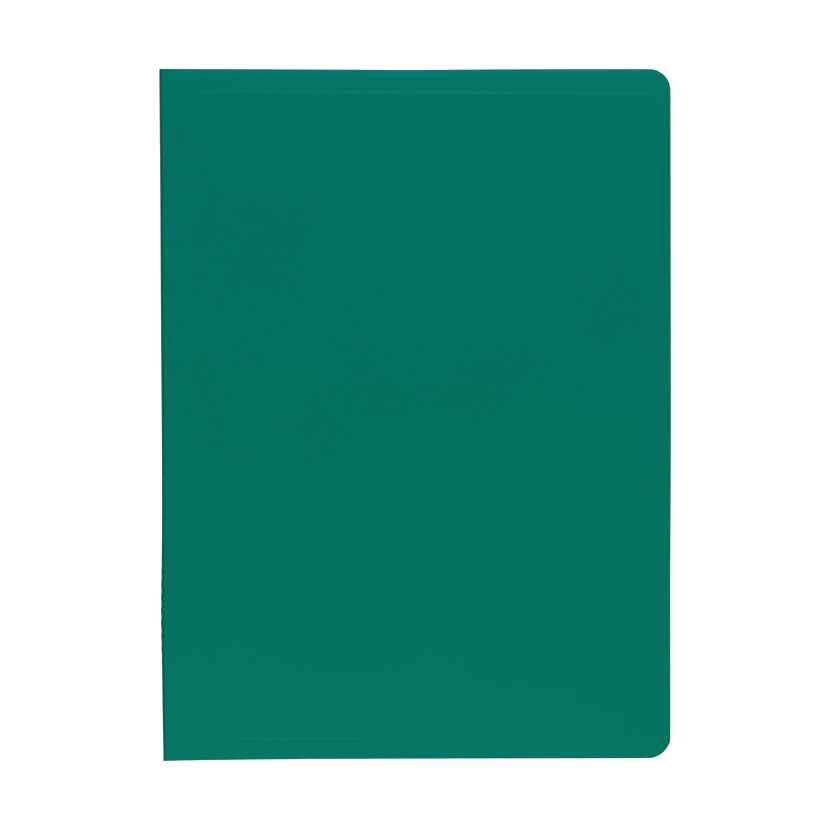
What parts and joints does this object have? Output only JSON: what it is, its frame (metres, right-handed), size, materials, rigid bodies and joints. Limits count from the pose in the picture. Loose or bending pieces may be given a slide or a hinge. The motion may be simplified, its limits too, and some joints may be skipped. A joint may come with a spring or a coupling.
{
  "type": "stamp album",
  "caption": "Flexible plastic stamp album: one-sheet cover folded round a flat spine, black leaves with rows of clear pocket strips on folding guards.",
  "frame": {"origin": "centre of the closed album's footprint, on the back cover's outer face", "axes": "+X from the spine to the fore edge, +Y from the foot to the head, +Z out of the front cover; the album lies closed on its back cover"},
  "size_m": [0.237, 0.32, 0.0132],
  "materials": {
    "cover_sheet": "matte",
    "leaf_sheet": "satin",
    "binding_strip": "matte",
    "pocket_film": "gloss"
  },
  "bodies": {
    "back_cover": {"back_cover": "cover_sheet"},
    "spine": {"spine": "cover_sheet", "spine_liner": "binding_strip"},
    "front_cover": {"front_cover": "cover_sheet"},
    "guard_1": {"leaf_1_guard": "binding_strip"},
    "leaf_1": {"leaf_1_sheet": "leaf_sheet", "leaf_1_front_strips": "pocket_film", "leaf_1_back_strips": "pocket_film"},
    "guard_2": {"leaf_2_guard": "binding_strip"},
    "leaf_2": {"leaf_2_sheet": "leaf_sheet", "leaf_2_front_strips": "pocket_film", "leaf_2_back_strips": "pocket_film"},
    "guard_3": {"leaf_3_guard": "binding_strip"},
    "leaf_3": {"leaf_3_sheet": "leaf_sheet", "leaf_3_front_strips": "pocket_film", "leaf_3_back_strips": "pocket_film"},
    "guard_4": {"leaf_4_guard": "binding_strip"},
    "leaf_4": {"leaf_4_sheet": "leaf_sheet", "leaf_4_front_strips": "pocket_film", "leaf_4_back_strips": "pocket_film"},
    "guard_5": {"leaf_5_guard": "binding_strip"},
    "leaf_5": {"leaf_5_sheet": "leaf_sheet", "leaf_5_front_strips": "pocket_film", "leaf_5_back_strips": "pocket_film"},
    "guard_6": {"leaf_6_guard": "binding_strip"},
    "leaf_6": {"leaf_6_sheet": "leaf_sheet", "leaf_6_front_strips": "pocket_film", "leaf_6_back_strips": "pocket_film"},
    "guard_7": {"leaf_7_guard": "binding_strip"},
    "leaf_7": {"leaf_7_sheet": "leaf_sheet", "leaf_7_front_strips": "pocket_film", "leaf_7_back_strips": "pocket_film"},
    "guard_8": {"leaf_8_guard": "binding_strip"},
    "leaf_8": {"leaf_8_sheet": "leaf_sheet", "leaf_8_front_strips": "pocket_film", "leaf_8_back_strips": "pocket_film"}
  },
  "joints": [
    {"name": "spine_fold", "type": "hinge", "parent": "back_cover", "child": "spine", "pos_m": [-0.1181, 0, 0.0004], "axis": [0, -1, 0], "range_deg": [0, 90]},
    {"name": "cover_fold", "type": "hinge", "parent": "spine", "child": "front_cover", "pos_m": [-0.1181, 0, 0.0127], "axis": [0, -1, 0], "range_deg": [0, 90]},
    {"name": "guard_1_fold", "type": "hinge", "parent": "spine", "child": "guard_1", "pos_m": [-0.1171, 0, 0.01145], "axis": [0, -1, 0], "range_deg": [0, 88.21]},
    {"name": "leaf_1_fold", "type": "hinge", "parent": "guard_1", "child": "leaf_1", "pos_m": [-0.1091, 0, 0.01145], "axis": [0, -1, 0], "range_deg": [0, 1.19]},
    {"name": "guard_2_fold", "type": "hinge", "parent": "spine", "child": "guard_2", "pos_m": [-0.1171, 0, 0.01005], "axis": [0, -1, 0], "range_deg": [0, 78.1]},
    {"name": "leaf_2_fold", "type": "hinge", "parent": "guard_2", "child": "leaf_2", "pos_m": [-0.1091, 0, 0.01005], "axis": [0, -1, 0], "range_deg": [0, 10.5]},
    {"name": "guard_3_fold", "type": "hinge", "parent": "spine", "child": "guard_3", "pos_m": [-0.1171, 0, 0.00865], "axis": [0, -1, 0], "range_deg": [0, 67.59]},
    {"name": "leaf_3_fold", "type": "hinge", "parent": "guard_3", "child": "leaf_3", "pos_m": [-0.1091, 0, 0.00865], "axis": [0, -1, 0], "range_deg": [0, 20.01]},
    {"name": "guard_4_fold", "type": "hinge", "parent": "spine", "child": "guard_4", "pos_m": [-0.1171, 0, 0.00725], "axis": [0, -1, 0], "range_deg": [0, 56.2]},
    {"name": "leaf_4_fold", "type": "hinge", "parent": "guard_4", "child": "leaf_4", "pos_m": [-0.1091, 0, 0.00725], "axis": [0, -1, 0], "range_deg": [0, 30.2]},
    {"name": "guard_5_fold", "type": "hinge", "parent": "spine", "child": "guard_5", "pos_m": [-0.1171, 0, 0.00585], "axis": [0, -1, 0], "range_deg": [-56.2, 0]},
    {"name": "leaf_5_fold", "type": "hinge", "parent": "guard_5", "child": "leaf_5", "pos_m": [-0.1091, 0, 0.00585], "axis": [0, -1, 0], "range_deg": [-30.2, 0]},
    {"name": "guard_6_fold", "type": "hinge", "parent": "spine", "child": "guard_6", "pos_m": [-0.1171, 0, 0.00445], "axis": [0, -1, 0], "range_deg": [-67.59, 0]},
    {"name": "leaf_6_fold", "type": "hinge", "parent": "guard_6", "child": "leaf_6", "pos_m": [-0.1091, 0, 0.00445], "axis": [0, -1, 0], "range_deg": [-20.01, 0]},
    {"name": "guard_7_fold", "type": "hinge", "parent": "spine", "child": "guard_7", "pos_m": [-0.1171, 0, 0.00305], "axis": [0, -1, 0], "range_deg": [-78.1, 0]},
    {"name": "leaf_7_fold", "type": "hinge", "parent": "guard_7", "child": "leaf_7", "pos_m": [-0.1091, 0, 0.00305], "axis": [0, -1, 0], "range_deg": [-10.5, 0]},
    {"name": "guard_8_fold", "type": "hinge", "parent": "spine", "child": "guard_8", "pos_m": [-0.1171, 0, 0.00165], "axis": [0, -1, 0], "range_deg": [-88.21, 0]},
    {"name": "leaf_8_fold", "type": "hinge", "parent": "guard_8", "child": "leaf_8", "pos_m": [-0.1091, 0, 0.00165], "axis": [0, -1, 0], "range_deg": [-1.19, 0]}
  ],
  "couplings": [
    {"joint": "guard_1_fold", "follows": "cover_fold", "ratio": 0.9801},
    {"joint": "leaf_1_fold", "follows": "cover_fold", "ratio": 0.013233},
    {"joint": "guard_2_fold", "follows": "cover_fold", "ratio": 0.86774},
    {"joint": "leaf_2_fold", "follows": "cover_fold", "ratio": 0.1167},
    {"joint": "guard_3_fold", "follows": "cover_fold", "ratio": 0.75099},
    {"joint": "leaf_3_fold", "follows": "cover_fold", "ratio": 0.22234},
    {"joint": "guard_4_fold", "follows": "cover_fold", "ratio": 0.62448},
    {"joint": "leaf_4_fold", "follows": "cover_fold", "ratio": 0.33552},
    {"joint": "guard_5_fold", "follows": "spine_fold", "ratio": -0.62448},
    {"joint": "leaf_5_fold", "follows": "spine_fold", "ratio": -0.33552},
    {"joint": "guard_6_fold", "follows": "spine_fold", "ratio": -0.75099},
    {"joint": "leaf_6_fold", "follows": "spine_fold", "ratio": -0.22234},
    {"joint": "guard_7_fold", "follows": "spine_fold", "ratio": -0.86774},
    {"joint": "leaf_7_fold", "follows": "spine_fold", "ratio": -0.1167},
    {"joint": "guard_8_fold", "follows": "spine_fold", "ratio": -0.9801},
    {"joint": "leaf_8_fold", "follows": "spine_fold", "ratio": -0.013233}
  ]
}
